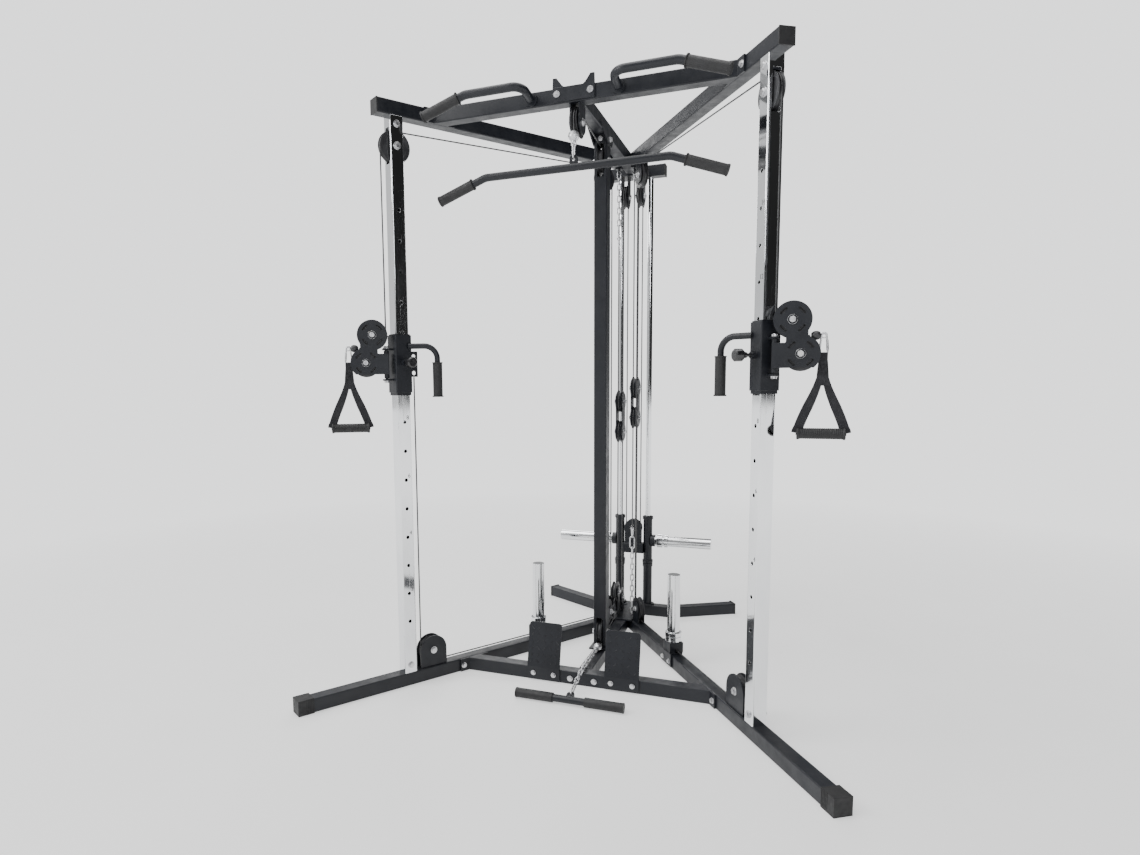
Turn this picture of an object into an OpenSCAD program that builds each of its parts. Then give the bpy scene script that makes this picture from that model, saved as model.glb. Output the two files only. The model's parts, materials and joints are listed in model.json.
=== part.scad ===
// Lat pulldown and cable station: a V-shaped floor frame with two drilled chrome posts,
// adjustable pulley trolleys, a hanging lat bar, a low row bar and a plate-loaded carriage.
// Origin: middle of the floor rectangle the machine covers. X right, -Y towards the user, Z up.

/* [Overall] */
// Height of the whole frame
total_h = 2100; // [1950:10:2250]
// Square tube size
tube = 50; // [50:1:50]
// Tube wall thickness
wall = 3; // [2:0.5:4]
// Angle of each leg from the centre line
leg_angle = 33; // [32:0.5:34]
// Tube length of each floor leg, from the rear apex
leg_len = 1552; // [1500:4:1600]
// Length of each top side beam
top_len = 1215; // [1190:5:1240]
// Distance of the rear apex behind the origin
apex_y = 504.6; // [484.6:5:524.6]

/* [Posts] */
// Post centre along the leg
post_r = 1145; // [1145:1:1145]
// Distance between adjusting holes
hole_pitch = 106; // [100:1:106]
// Height of the lowest adjusting hole
hole_z = 248; // [240:2:260]
// Number of adjusting holes
hole_n = 15; // [10:1:15]
// Radius of the adjusting holes
hole_r = 6.3; // [6.2:0.1:7]
// Height of the top pulley axle in each post
post_axle_z = 1950; // [1940:5:1955]

/* [Cross members] */
// Front face of the floor cross beam, measured forward from the apex
foot_beam_y = 767; // [760:1:780]
// Front face of the top cross bar, measured forward from the apex
crossbar_y = 856; // [850:1:862]
// Front face of the centre upright, measured forward from the apex
upright_y = 507; // [505:1:510]
// Depth of the centre upright
upright_d = 60; // [58:1:62]
// Plane of the guide rods, behind the apex
rod_y = 150; // [150:1:150]
// Half distance between the guide rods
rod_x = 67.5; // [67:0.5:68]
// Guide rod radius
rod_r = 12.5; // [12:0.5:13]

/* [Pulleys] */
// Radius of the cable line on a pulley
cable_R = 46; // [46:1:46]
// Outer radius of a pulley
sheave_R = 51; // [50:0.5:51]
// Pulley thickness
sheave_t = 20; // [18:1:20]
// Cable radius
cable_r = 2.5; // [2:0.25:2.5]
// Sideways distance of the two floating blocks from the centre
block_x = 34; // [34:1:34]

/* [Trolleys] */
// Outer size of the sliding sleeve
sleeve_w = 64; // [64:1:66]
// Height of the sleeve bottom
sleeve_z = 1096; // [1090:1:1100]
// Sleeve length
sleeve_h = 204; // [200:1:206]
// Hinge line of the swivel bracket, along the leg
hinge_r = 1198; // [1198:1:1198]
// Direction of the right swivel bracket, turned from the leg line
swing_right = 57; // [40:1:70]
// Direction of the left swivel bracket, turned from the leg line
swing_left = 27; // [20:1:60]

/* [Weight carriage] */
// Height of the weight horn axis
horn_z = 365; // [360:1:370]
// Weight horn radius
horn_r = 25; // [24:0.5:25]
// Half distance between the horn ends
horn_x = 364; // [350:2:370]

/* [Bars] */
// Height of the lat bar's middle
lat_z = 1850; // [1848:1:1852]
// Lat bar radius
bar_r = 13; // [12:0.5:14]
// Row bar length
row_len = 392; // [380:2:400]

/* [Hidden] */
H0 = total_h - tube;
post_c = post_r;
fine = 48;
mid = 32;
low = 16;
pin_z = hole_z + 9 * hole_pitch;
lat_y = crossbar_y - 44;
lat_pz = H0 - 54;
up_y = upright_y - upright_d / 2;
up_pz = H0 - 90;
low_pz = 114;
top_back_y = 90;
top_back_z = H0 - 92;
block_y = -2;
corner_r = 150;
corner_z = H0 - 60;
leg_pr = hinge_r - 154;
leg_line = leg_pr + cable_R;
f2_y = block_y - 85;
hang_x = 131.5;
leg_pz = 112;
a_top = 1036;
a_bot = 899;
b_top = 1097;
b_bot = 963;
steel = [0.16, 0.17, 0.19];
chrome = [0.8, 0.8, 0.82];
black = [0.05, 0.05, 0.05];
zinc = [0.7, 0.7, 0.7];
$fn = mid;

// ---------- placing helpers ----------
// Moves to the rear apex, where the two legs meet.
module at_apex() { translate([0, apex_y, 0]) children(); }
// Local X runs out along one leg, local -Y faces the inside of the V.
module on_leg(s) {
  if (s > 0) translate([0, apex_y, 0]) rotate([0, 0, leg_angle - 90]) children();
  else mirror([1, 0, 0]) translate([0, apex_y, 0]) rotate([0, 0, leg_angle - 90]) children();
}
// A wheel plane that looks sideways: local X runs to +Y, local Y runs up.
module wheel_x(x, y, z) { at_apex() translate([x, y, z]) rotate([90, 0, 90]) children(); }
// A wheel plane that runs along a leg: local X runs outwards, local Y runs up.
module wheel_leg(s, r, z) { on_leg(s) translate([r, 0, z]) rotate([90, 0, 0]) children(); }
// The swivel plane of a trolley: local X runs out from the hinge line, local Y runs up.
module wheel_swivel(s) {
  on_leg(s) translate([hinge_r, 0, 0]) rotate([0, 0, s > 0 ? swing_right : swing_left])
    rotate([90, 0, 0]) children();
}

// ---------- shape helpers ----------
module round_rect(w, h, r) {
  union() {
    translate([-w / 2 + r, 0]) square([w - 2 * r, h]);
    translate([-w / 2, r]) square([w, h - 2 * r]);
    for (i = [-1, 1], k = [r, h - r]) translate([i * (w / 2 - r), k]) circle(r, $fn = low);
  }
}
// Hollow square tube along X, standing on z = 0.
module rhs(l, w = tube, h = tube, t = wall) {
  rotate([90, 0, 90]) linear_extrude(l) difference() {
    round_rect(w, h, 4);
    translate([0, t]) round_rect(w - 2 * t, h - 2 * t, 2);
  }
}
// Hollow upright tube centred on the origin.
module upright_tube(w, d, h, t = wall) {
  linear_extrude(h) difference() {
    translate([0, -d / 2]) round_rect(w, d, 4);
    translate([0, -d / 2 + t]) round_rect(w - 2 * t, d - 2 * t, 2);
  }
}
// Grooved pulley in the local XY plane.
module sheave(R = sheave_R, C = cable_R, t = sheave_t, bore = 6.3) {
  g = C - cable_r - 0.3;
  rotate_extrude($fn = fine) polygon([[bore, -t / 2 - 1], [14, -t / 2 - 1], [14, -t / 2 + 2],
    [g - 8, -t / 2 + 2], [g - 6, -t / 2], [R, -t / 2], [R, -t / 2 + 1.5], [g, -3.4], [g, 3.4],
    [R, t / 2 - 1.5], [R, t / 2], [g - 6, t / 2], [g - 8, t / 2 - 2], [14, t / 2 - 2],
    [14, t / 2 + 1], [bore, t / 2 + 1]]);
}
// Straight length of cable or rod between two points.
module run(p, q, r = cable_r, n = low) {
  v = q - p;
  l = norm(v);
  translate(p) rotate([0, acos(v[2] / l), atan2(v[1], v[0])]) cylinder(r = r, h = l, $fn = n);
}
// Straight cable between two bends.
module cable_run(p, q, gap = 0.06) {
  u = (q - p) / norm(q - p) * gap;
  run(p + u, q - u);
}
// Part of a ring in the local XY plane, from angle a over w degrees.
module bend(R, a, w, r = cable_r, n = fine) {
  rotate([0, 0, a]) rotate_extrude(angle = w, $fn = n) translate([R, 0]) circle(r, $fn = low);
}
// Hexagon bolt head with washer, standing on z = 0.
module bolt_head(r = 9, h = 6) {
  cylinder(r = r * 1.35, h = 2, $fn = mid);
  translate([0, 0, 2]) cylinder(r = r, h = h, $fn = 6);
}
// Bolt through a stack: head above zero, nut below.
module axle(grip, r = 6, hr = 10) {
  translate([0, 0, -grip / 2]) cylinder(r = r, h = grip, $fn = mid);
  translate([0, 0, grip / 2]) bolt_head(hr, 6);
  translate([0, 0, -grip / 2]) mirror([0, 0, 1]) bolt_head(hr, 8);
}
// One chain link in the local XZ plane, standing lengthwise.
module link(inner = 28, w = 5, gap = 9) {
  r = gap / 2 + w / 2;
  s = inner / 2 - gap / 2;
  for (k = [0, 180]) rotate([0, k, 0]) {
    translate([0, 0, s]) rotate([90, 0, 0]) bend(r, 0, 180, w / 2, 20);
    translate([r, 0, -s]) cylinder(r = w / 2, h = 2 * s, $fn = low);
  }
}
// Hanging chain of n links from z = 0 downwards.
module chain(n, inner = 28, w = 5) {
  for (i = [0:n - 1]) translate([0, 0, -inner / 2 - w / 2 - i * (inner - 0.6)])
    rotate([0, 0, i % 2 * 90]) link(inner, w);
}
// Snap hook in the local XZ plane: wire centres at z = -r2 and z = l + r1.
module snap_hook(r1, r2, l, w) {
  r = (r1 + r2) / 2;
  rotate([90, 0, 0]) {
    translate([0, r - r2, 0]) bend(r, 180, 180, w, mid);
    translate([0, l + r1 - r, 0]) bend(r, 0, 180, w, mid);
  }
  for (k = [-1, 1]) translate([k * r, 0, r - r2]) cylinder(r = w, h = l + r1 + r2 - 2 * r, $fn = low);
}

// ---------- floor frame ----------
module side_legs() color(steel) for (s = [-1, 1]) difference() {
  union() {
    on_leg(s) {
      translate([30, 0, 0]) rhs(leg_len - 30);
      translate([post_c - 21, -21, tube - 1]) cube([42, 42, 61]);
    }
  }
  at_apex() translate([-tube / 2, -300, -1]) cube([tube, 600, tube + 2]);
  on_leg(s) translate([post_c, 0, 80]) rotate([90, 0, 0]) cylinder(r = 6.2, h = 80, center = true);
}
module foot_beam() color(steel) {
  difference() {
    at_apex() translate([-600, -foot_beam_y + tube / 2, 0]) rhs(1200);
    for (s = [-1, 1]) on_leg(s) translate([0, -tube / 2 - 6, -1]) cube([1400, 400, 80]);
    for (k = [-1, 1]) at_apex() translate([k * 46, -foot_beam_y, 22.5]) rotate([90, 0, 0])
      cylinder(r = 5.2, h = 20, center = true);
  }
  for (s = [-1, 1]) on_leg(s) difference() {
    translate([804, -tube / 2 - 6, 1]) cube([128, 6, 49]);
    for (k = [818, 918]) translate([k, -tube / 2 - 3, 25]) rotate([90, 0, 0])
      cylinder(r = 5.2, h = 20, center = true);
  }
}
module floor_spine() color(steel) at_apex() {
  translate([0, -foot_beam_y + tube, 0]) rotate([0, 0, 90]) rhs(foot_beam_y - tube + 125);
  translate([-50, -130, tube]) cube([100, 200, 6]);
}
module rear_foot() color(steel) at_apex() {
  difference() {
    translate([-200, 150, 0]) rhs(400);
    for (k = [-1, 1]) translate([k * 184.8, 150, -1]) rotate([0, 0, k > 0 ? 15 : 165])
      translate([0, -60, 0]) cube([120, 120, 60]);
  }
  for (k = [-1, 1]) difference() {
    translate([k * 185, 150, 0]) rotate([0, 0, k > 0 ? 30 : 150]) translate([-60, 0, 0]) rhs(366);
    translate([k * 185.2, 150, -1]) rotate([0, 0, k > 0 ? 195 : -15]) translate([0, -90, 0]) cube([180, 180, 60]);
  }
}
module end_caps() color(black) {
  for (s = [-1, 1]) on_leg(s) translate([leg_len, 0, 0]) {
    difference() {
      translate([-30, -28, 0]) cube([56, 56, 54]);
      translate([-30.5, -25.2, -1]) cube([30.5, 50.4, 51.3]);
      for (i = [0:4]) translate([-27 + i * 6, 0, 0]) for (k = [-1, 1])
        translate([0, k * 28 - 1, 8]) cube([2.5, 2, 50]);
    }
    translate([-24, -21.2, 3.8]) cube([24, 42.4, 42.4]);
  }
  at_apex() for (k = [-1, 1]) translate([k * 185, 150, 0]) rotate([0, 0, k > 0 ? 30 : 150])
    translate([306, 0, 0]) {
      translate([0, -26, 0]) cube([8, 52, 52]);
      translate([-20, -21.2, 3.8]) cube([20, 42.4, 42.4]);
    }
  for (s = [-1, 1]) on_leg(s) translate([top_len, 0, H0]) {
    translate([0, -25, 0]) cube([4, 50, 50]);
    translate([-18, -21.2, 3.8]) cube([18, 42.4, 42.4]);
  }
  at_apex() for (k = [-1, 1]) translate([k * 132, rod_y, H0]) mirror([k < 0 ? 1 : 0, 0, 0]) {
    translate([0, -25, 0]) cube([4, 50, 50]);
    translate([-18, -21.2, 3.8]) cube([18, 42.4, 42.4]);
  }
}

// ---------- upright and top frame ----------
module centre_upright() color(steel) at_apex() translate([0, -up_y, 0]) difference() {
  union() {
    translate([0, 0, tube]) upright_tube(tube, upright_d, H0 - tube);
    translate([-40, -46, tube]) cube([80, 92, 6]);
  }
  translate([-13, -60, up_pz - 62]) cube([26, 120, 120]);
  translate([-13, -60, tube + 6]) cube([26, 120, 122]);
  for (z = [up_pz, low_pz]) translate([0, 0, z]) rotate([0, 90, 0]) cylinder(r = 6.2, h = 80, center = true);
  translate([0, -upright_d / 2, H0 - 14]) rotate([90, 0, 0]) cylinder(r = 5.2, h = 10, center = true);
}

module top_side_beams() color(steel) for (s = [-1, 1]) difference() {
  on_leg(s) {
    translate([0, 0, H0]) rhs(top_len);
    translate([post_c - 21, -21, H0 - 44]) difference() {
      cube([42, 42, 45]);
      translate([3, 3, -1]) cube([36, 36, 45]);
    }
  }
  at_apex() translate([-tube / 2, -300, H0 - 1]) cube([tube, 500, tube + 2]);
  on_leg(s) translate([post_c, 0, H0 - 27]) rotate([90, 0, 0]) cylinder(r = 6.2, h = 80, center = true);
}
module top_crossbar() color(steel) {
  difference() {
    at_apex() translate([-700, -crossbar_y + tube / 2, H0]) rhs(1400);
    for (s = [-1, 1]) on_leg(s) translate([0, -tube / 2 - 6, H0 - 1]) cube([1400, 600, 80]);
    for (k = [-57.5, 57.5]) at_apex() translate([k, -crossbar_y, H0 + 29]) rotate([90, 0, 0])
      cylinder(r = 5.2, h = 20, center = true);
  }
  for (s = [-1, 1]) on_leg(s) difference() {
    translate([912, -tube / 2 - 6, H0]) cube([126, 6, 50]);
    for (k = [922, 1028]) translate([k, -tube / 2 - 3, H0 + 25]) rotate([90, 0, 0])
      cylinder(r = 5.2, h = 20, center = true);
  }
}
module top_spine() color(steel) at_apex() {
  translate([0, -crossbar_y + tube, H0]) rotate([0, 0, 90]) rhs(crossbar_y - tube + rod_y - 25);
  for (k = [-1, 1]) translate([k > 0 ? 25 : -30, -up_y, 0]) rotate([90, 0, 90])
    linear_extrude(5) difference() {
      polygon([[-130, H0 + 20], [60, H0 + 20], [32, H0 - 36], [-22, H0 - 36]]);
      translate([4, H0 - 12]) circle(6.2);
    }
}
module rear_top_beam() color(steel) at_apex() difference() {
  translate([-132, rod_y, H0]) rhs(264);
  for (k = [-1, 1]) translate([k * rod_x, rod_y, H0 - 1]) cylinder(r = rod_r + 0.1, h = 40);
}
module front_posts() color(chrome) for (s = [-1, 1]) on_leg(s) translate([post_c, 0, tube]) difference() {
  upright_tube(tube, tube, H0 - tube);
  for (i = [0:hole_n - 1]) translate([0, 0, hole_z - tube + i * hole_pitch]) rotate([90, 0, 0])
    cylinder(r = hole_r, h = 80, center = true);
  for (z = [80, post_axle_z, H0 - 27]) translate([0, 0, z - tube]) rotate([90, 0, 0])
    cylinder(r = 6.2, h = 80, center = true);
  translate([-40, -13, post_axle_z - tube - 60]) cube([80, 26, 122]);
}

// ---------- fittings ----------
module foot_plates() color(steel) at_apex() for (s = [-1, 1]) translate([s * 150, -foot_beam_y, 0]) {
  difference() {
    translate([-64, -5, 4]) cube([128, 5, 49]);
    for (k = [-40, 40]) translate([k, 0, 28]) rotate([90, 0, 0]) cylinder(r = 5.2, h = 20, center = true);
  }
  translate([0, -5, 53]) rotate([-12, 0, 0]) rotate([90, 0, 0]) mirror([0, 0, 1]) linear_extrude(5) {
    translate([-64, 0]) square([128, 156]);
    translate([-52, 150]) square([104, 18]);
    for (k = [-1, 1]) translate([k * 52, 156]) circle(12, $fn = mid);
  }
  translate([0, -5, 53]) rotate([-12, 0, 0]) for (i = [0:4], j = [0:5])
    translate([-50 + i * 25, 0.4, 20 + j * 25]) rotate([90, 0, 0]) rotate([0, 0, (i + j) % 2 * 90 + 45])
      translate([-7, -1.5, 0]) cube([14, 3, 1.6]);
}
module bar_hook_plate() color(steel) at_apex() translate([0, -crossbar_y - 6, H0]) rotate([90, 0, 0])
  mirror([0, 0, 1]) linear_extrude(6) difference() {
    union() {
      translate([-72, 4]) square([144, 46]);
      for (k = [-1, 1]) polygon([[k * 72, 48], [k * 71, 80], [k * 58, 80], [k * 40, 56], [k * 30, 48]]);
    }
    for (k = [-57.5, 57.5]) translate([k, 29]) circle(5.2);
  }
// Start of a pull-up handle's sloping grip, in the handle's own frame.
module pullup_end() {
  rotate([-10, 0, 0]) translate([195 + 60 * sin(20), -92, -60 + 60 * cos(20)]) rotate([0, 110, 0]) children();
}
module pullup_handles() color(steel) for (s = [-1, 1]) mirror([s < 0 ? 1 : 0, 0, 0])
  at_apex() translate([150, -crossbar_y, H0 + 25]) {
    rotate([90, 0, 0]) cylinder(r = 22, h = 5);
    rotate([-10, 0, 0]) {
      translate([0, -3, 0]) rotate([90, 0, 0]) cylinder(r = 14, h = 49);
      translate([40, -52, 0]) bend(40, 180, 90, 14);
      run([40, -92, 0], [195, -92, 0], 14, mid);
      translate([195, -92, -60]) rotate([90, 0, 0]) bend(60, 70, 20, 14.2);
    }
    pullup_end() cylinder(r = 14, h = 148);
  }
module pullup_grips() color(black) for (s = [-1, 1]) mirror([s < 0 ? 1 : 0, 0, 0])
  at_apex() translate([150, -crossbar_y, H0 + 25]) pullup_end() difference() {
    union() {
      translate([0, 0, 16]) cylinder(r = 18, h = 136);
      translate([0, 0, 14]) cylinder(r = 21, h = 4);
      translate([0, 0, 149]) cylinder(r = 20, h = 5);
    }
    translate([0, 0, 10]) cylinder(r = 14.05, h = 138.1);
  }
module guide_rods() color(chrome) at_apex() for (k = [-1, 1]) translate([k * rod_x, rod_y, tube])
  cylinder(r = rod_r, h = H0 - tube + 38, $fn = fine);
module rod_base_tubes() color(black) at_apex() for (k = [-1, 1]) translate([k * rod_x, rod_y, tube])
  difference() {
    union() {
      cylinder(r = 32, h = 6);
      cylinder(r = 21, h = 204.6, $fn = fine);
      translate([0, 0, 190]) cylinder(r = 24, h = 14.6);
    }
    translate([0, 0, -1]) cylinder(r = rod_r + 0.15, h = 220, $fn = fine);
  }
// One cheek plate pair for a pulley hung or stood in the local wheel plane.
module cheeks(gap, t, up, half = 22, rr = 30) {
  for (k = [-1, 1]) translate([0, 0, k * (gap + t) / 2 - t / 2]) linear_extrude(t) difference() {
    union() {
      circle(rr);
      translate([-half, up < 0 ? up : 0]) square([2 * half, abs(up)]);
    }
    circle(6.2);
  }
}
module pulley_brackets() color(steel) {
  wheel_x(0, -lat_y, lat_pz) cheeks(26, 5, H0 - lat_pz, 34, 40);
  for (k = [-1, 1]) wheel_x(k * block_x, top_back_y, top_back_z) {
    cheeks(24, 4, H0 - top_back_z, 26, 32);
  }
  for (s = [-1, 1]) {
    wheel_leg(s, corner_r, corner_z) cheeks(24, 4, H0 - corner_z, 26, 34);
    wheel_leg(s, corner_r, leg_pz) cheeks(24, 4, -(leg_pz - tube), 30, 34);
    wheel_leg(s, leg_pr, leg_pz) {
      cheeks(26, 5, -(leg_pz - tube), 56, 56);
    }
  }
  wheel_x(-block_x, block_y, low_pz) cheeks(24, 4, -(low_pz - tube - 6), 18, 30);
  difference() {
    wheel_x(-block_x, f2_y, 170) cheeks(24, 4, -(170 - tube - 6), 14, 26);
    // the foot is narrow beside the corner pulley
    at_apex() translate([-block_x - 20, f2_y - 20, tube + 10]) cube([10, 20.9, 84]);
  }
  wheel_x(0, -up_y + 92, 170) for (k = [-1, 1]) translate([0, 0, k * 14.5 - 2]) linear_extrude(4)
    difference() {
      union() { circle(24); translate([-62 + 0, -20]) square([62, 40]); }
      circle(6.2);
    }
  at_apex() translate([-52, top_back_y - 30, H0 - 5]) cube([104, 60, 5]);
  at_apex() for (k = [-1, 1]) translate([k * block_x, block_y - cable_R, H0 - 5]) {
    translate([-14, -14, 0]) cube([28, 28, 5]);
    translate([0, 0, -11]) rotate([90, 0, k * 90]) bend(7, 180, 180, 3, mid);
    for (j = [-7, 7]) translate([0, j, -11]) cylinder(r = 3, h = 11, $fn = low);
  }
}
module guide_pulleys() color(black) {
  for (s = [-1, 1]) {
    wheel_leg(s, corner_r, corner_z) sheave();
    wheel_leg(s, corner_r, leg_pz) sheave();
    wheel_leg(s, leg_pr, leg_pz) sheave();
  }
  wheel_x(-block_x, block_y, low_pz) sheave();
  wheel_x(-block_x, f2_y, 170) sheave(44, 39);
  wheel_x(0, -up_y + 92, 170) sheave();
}
module lat_pulley() color(black) wheel_x(0, -lat_y, lat_pz) sheave();
module upright_pulley() color(black) wheel_x(0, -up_y, up_pz) sheave();
module low_pulley() color(black) wheel_x(0, -up_y, low_pz) sheave();
module left_post_pulley() color(black) wheel_leg(-1, post_c, post_axle_z) sheave(57, 53);
module right_post_pulley() color(black) wheel_leg(1, post_c, post_axle_z) sheave(57, 53);
module rear_top_pulleys() color(black) for (k = [-1, 1]) wheel_x(k * block_x, top_back_y, top_back_z) sheave();

// ---------- bolts, pegs, chains and fixed cables ----------
module frame_bolts() color(zinc) {
  // post bolts, one near each end, and the top pulley axle
  for (s = [-1, 1]) on_leg(s) translate([post_c, 0, 0]) {
    for (z = [80, H0 - 27]) translate([0, 0, z]) rotate([90, 0, 0]) axle(50, 5.9, 9);
    translate([0, 0, post_axle_z]) rotate([90, 0, 0]) axle(50, 5.9, 10);
  }
  // flange bolts of the floor beam and the top cross bar
  for (s = [-1, 1]) on_leg(s) {
    for (k = [818, 918]) translate([k, -tube / 2 - 6, 25]) rotate([90, 0, 0]) bolt_head(8, 6);
    for (k = [922, 1028]) translate([k, -tube / 2 - 6, H0 + 25]) rotate([90, 0, 0]) bolt_head(8, 6);
  }
  // cross beam, hook plate and foot plate bolts
  at_apex() {
    for (k = [-46, 46]) translate([k, -foot_beam_y, 22.5]) rotate([90, 0, 0]) bolt_head(8, 6);
    for (k = [-57.5, 57.5]) translate([k, -crossbar_y - 6, H0 + 29]) rotate([90, 0, 0]) bolt_head(8, 6);
    for (s = [-1, 1], k = [-40, 40]) translate([s * 150 + k, -foot_beam_y - 5, 28]) rotate([90, 0, 0])
      bolt_head(7, 5);
    translate([0, -upright_y, H0 - 14]) rotate([90, 0, 0]) bolt_head(7, 5);
    for (k = [-1, 1]) translate([k * 30, -up_y + 4, H0 - 12]) rotate([0, k * 90, 0]) bolt_head(8, 6);
  }
  // pulley axles that run sideways
  wheel_x(0, -lat_y, lat_pz) axle(36, 5.9);
  wheel_x(0, -up_y, up_pz) axle(50, 5.9);
  wheel_x(0, -up_y, low_pz) axle(50, 5.9);
  wheel_x(0, -up_y + 92, 170) axle(33, 5.9, 9);
  for (k = [-1, 1]) wheel_x(k * block_x, top_back_y, top_back_z) axle(32, 5.9, 9);
  wheel_x(-block_x, block_y, low_pz) axle(32, 5.9, 9);
  wheel_x(-block_x, f2_y, 170) {
    // low outer head: a side cable passes close to it
    translate([0, 0, -19.4]) cylinder(r = 9, h = 3.4);
    translate([0, 0, -16]) cylinder(r = 5.9, h = 32, $fn = mid);
    translate([0, 0, 16]) bolt_head(9, 6);
  }
  // pulley axles that run across a leg
  for (s = [-1, 1]) {
    wheel_leg(s, corner_r, corner_z) axle(32, 5.9, 9);
    wheel_leg(s, corner_r, leg_pz) axle(32, 5.9, 9);
    wheel_leg(s, leg_pr, leg_pz) axle(36, 5.9, 10);
  }
  // storage peg brackets
  for (s = [-1, 1]) on_leg(s) for (k = [-30, 30])
    translate([522 + k, -31, 25]) rotate([90, 0, 0]) bolt_head(7, 5);
}
module storage_pegs() color(chrome) for (s = [-1, 1]) on_leg(s) translate([522, 0, tube + 46]) {
  difference() {
    union() {
      cylinder(r = 23.5, h = 40, $fn = fine);
      translate([0, 0, 40]) cylinder(r = 24.5, h = 230, $fn = fine);
    }
    translate([0, 0, 30]) cylinder(r = 21.5, h = 234, $fn = fine);
  }
  difference() {
    union() {
      translate([0, 0, 2]) cylinder(r = 31, h = 18, $fn = fine);
      translate([0, 0, 22]) cylinder(r = 32, h = 16, $fn = fine);
    }
    translate([0, 0, -1]) cylinder(r = 23.6, h = 60, $fn = fine);
  }
}
module peg_brackets() color(steel) for (s = [-1, 1]) on_leg(s) translate([522, 0, 0]) {
  translate([-34, -25, tube]) cube([68, 50, 6]);
  difference() {
    translate([-32, -28, tube + 6]) cube([64, 56, 40]);
    translate([-28, -24, tube + 5]) cube([56, 48, 36]);
    translate([-40, -5, tube + 5]) cube([80, 10, 16]);
  }
  difference() {
    translate([-46, -31, 6]) cube([92, 6, 50]);
    for (k = [-30, 30]) translate([k, -28, 25]) rotate([90, 0, 0]) cylinder(r = 5.2, h = 20, center = true);
  }
}
module ferrule(h = 30) {
  translate([0, 0, -1.2]) rotate([90, 0, 0]) rotate_extrude($fn = mid) translate([7, 0]) circle(cable_r, $fn = low);
  translate([0, 0, -8 - h]) cylinder(r = 5.5, h = h, $fn = mid);
}
module staple() {
  translate([0, 0, 5]) rotate([90, 0, 90]) bend(7, 0, 180, 3, mid);
  for (j = [-7, 7]) translate([0, j, 0]) cylinder(r = 3, h = 5, $fn = low);
}
module anchor_chains() color(zinc) {
  // upper one: hangs from the top frame and ends the main cable
  at_apex() translate([-block_x, block_y - cable_R, H0 - 12.2]) {
    chain(9, 26);
    translate([0, 0, -270.4]) {
      rotate([0, 0, 90]) snap_hook(8, 13, 34, 3);
      translate([0, 0, -13]) ferrule();
    }
  }
  // other end of the main cable, hooked straight to the top frame
  at_apex() translate([block_x, block_y - cable_R, H0 - 23.2]) ferrule();
  // lower one: stands on the rear plate and holds the second block down
  at_apex() translate([block_x, block_y - cable_R, tube + 6]) {
    staple();
    translate([0, 0, 6.2]) mirror([0, 0, 1]) chain(12, 26);
    translate([0, 0, 323.8]) snap_hook(8, 13, 34, 3);
    translate([0, 0, 365.8]) mirror([0, 0, 1]) rotate([0, 0, 90]) ferrule();
  }
  at_apex() translate([block_x, block_y + cable_R, tube + 6]) {
    staple();
    translate([0, 0, 12]) mirror([0, 0, 1]) ferrule();
  }
}
// Main cable over a rear top pulley and round one floating block. k: side, zb: axle height.
module main_cable(k, zb, top) {
  wheel_x(k * block_x, top_back_y, top_back_z) bend(cable_R, 0, 180);
  at_apex() cable_run([k * block_x, top_back_y - cable_R, zb], [k * block_x, top_back_y - cable_R, top_back_z]);
  wheel_x(k * block_x, block_y, zb) bend(cable_R, 180, 180);
  at_apex() cable_run([k * block_x, block_y - cable_R, zb], [k * block_x, block_y - cable_R, top]);
}
module side_cable(s) {
  dr = post_c - corner_r;
  dz = corner_z - post_axle_z;
  d = sqrt(dr * dr + dz * dz);
  t = 90 - atan2(dz, dr) + asin((53 - cable_R) / d);
  u = [cos(t), sin(t)];
  wheel_leg(s, post_c, post_axle_z) bend(53, 0, t);
  wheel_leg(s, corner_r, corner_z) bend(cable_R, t, 180 - t);
  on_leg(s) {
    cable_run([corner_r + cable_R * u[0], 0, corner_z + cable_R * u[1]],
      [post_c + 53 * u[0], 0, post_axle_z + 53 * u[1]]);
    cable_run([corner_r - cable_R, 0, leg_pz], [corner_r - cable_R, 0, corner_z]);
    cable_run([corner_r, 0, leg_pz - cable_R], [leg_pr, 0, leg_pz - cable_R]);
  }
  wheel_leg(s, corner_r, leg_pz) bend(cable_R, 180, 90);
  wheel_leg(s, leg_pr, leg_pz) bend(cable_R, 270, 90);
}
module lat_row_cable() {
  // over the front pulley, over the upright pulley, down behind the upright
  wheel_x(0, -lat_y, lat_pz) bend(cable_R, lat_tilt, 180 - lat_tilt);
  at_apex() cable_run([0, -lat_y + cable_R * cos(lat_tilt), lat_pz + cable_R * sin(lat_tilt)],
    [0, -up_y + cable_R * cos(lat_tilt), up_pz + cable_R * sin(lat_tilt)]);
  wheel_x(0, -up_y, up_pz) bend(cable_R, 0, lat_tilt);
  at_apex() cable_run([0, -up_y + cable_R, 170], [0, -up_y + cable_R, up_pz]);
  wheel_x(0, -up_y + 92, 170) bend(cable_R, 180, 90);
  at_apex() cable_run([0, -up_y + 92, 170 - cable_R], [-block_x, f2_y, 131], 0.45);
  wheel_x(-block_x, f2_y, 170) bend(39, 270, 90);
  // round the lower sheave of the first block and on to the row bar
  at_apex() cable_run([-block_x, block_y - cable_R, 170], [-block_x, block_y - cable_R, a_bot]);
  wheel_x(-block_x, block_y, a_bot) bend(cable_R, 0, 180);
  at_apex() cable_run([-block_x, block_y + cable_R, low_pz], [-block_x, block_y + cable_R, a_bot]);
  wheel_x(-block_x, block_y, low_pz) bend(cable_R, 270, 90);
  at_apex() cable_run([-block_x, block_y, low_pz - cable_R], [0, -up_y, low_pz - cable_R], 0.45);
  at_apex() cable_run([0, -up_y, low_pz - cable_R], [0, -up_y - 44, low_pz - cable_R]);
}
lat_tilt = 90 - atan2(lat_pz - up_pz, lat_y - up_y);
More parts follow.
